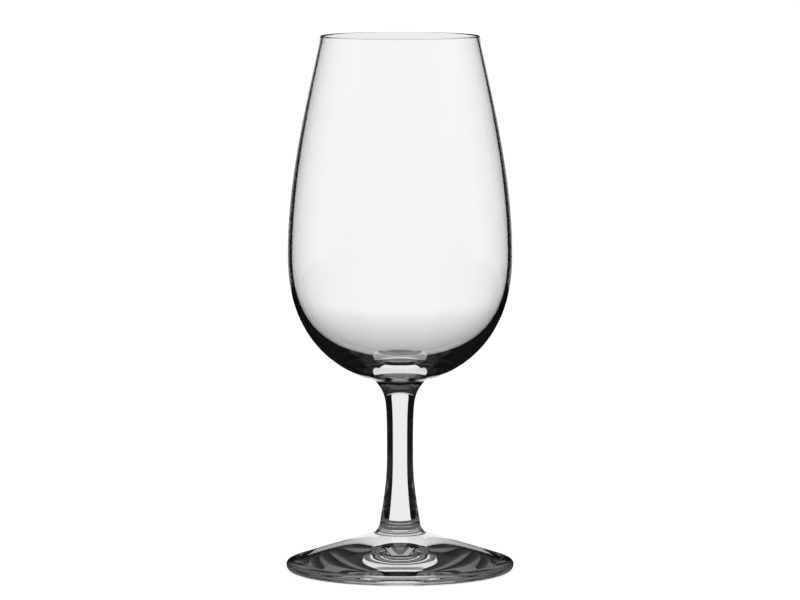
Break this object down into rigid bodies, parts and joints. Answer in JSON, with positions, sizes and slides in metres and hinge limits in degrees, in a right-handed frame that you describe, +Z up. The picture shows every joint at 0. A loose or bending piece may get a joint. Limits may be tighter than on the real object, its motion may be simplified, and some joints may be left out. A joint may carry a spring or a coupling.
{
  "type": "tasting glass",
  "caption": "Stemmed tasting glass with a tulip-shaped bowl narrowing to its mouth, a thick base, a solid waisted stem and a round coned foot; clear glass.",
  "frame": {"origin": "on the glass's axis, in the plane that the foot stands on", "axes": "+Z up along the axis, from the foot to the mouth; X and Y are alike, because the glass is round"},
  "size_m": [0.066, 0.066, 0.155],
  "materials": {
    "clear_glass": "clear colourless glass, blown and drawn, fire-polished all over"
  },
  "bodies": {
    "root": {"bowl": "clear_glass", "stem": "clear_glass", "foot": "clear_glass"}
  },
  "joints": []
}
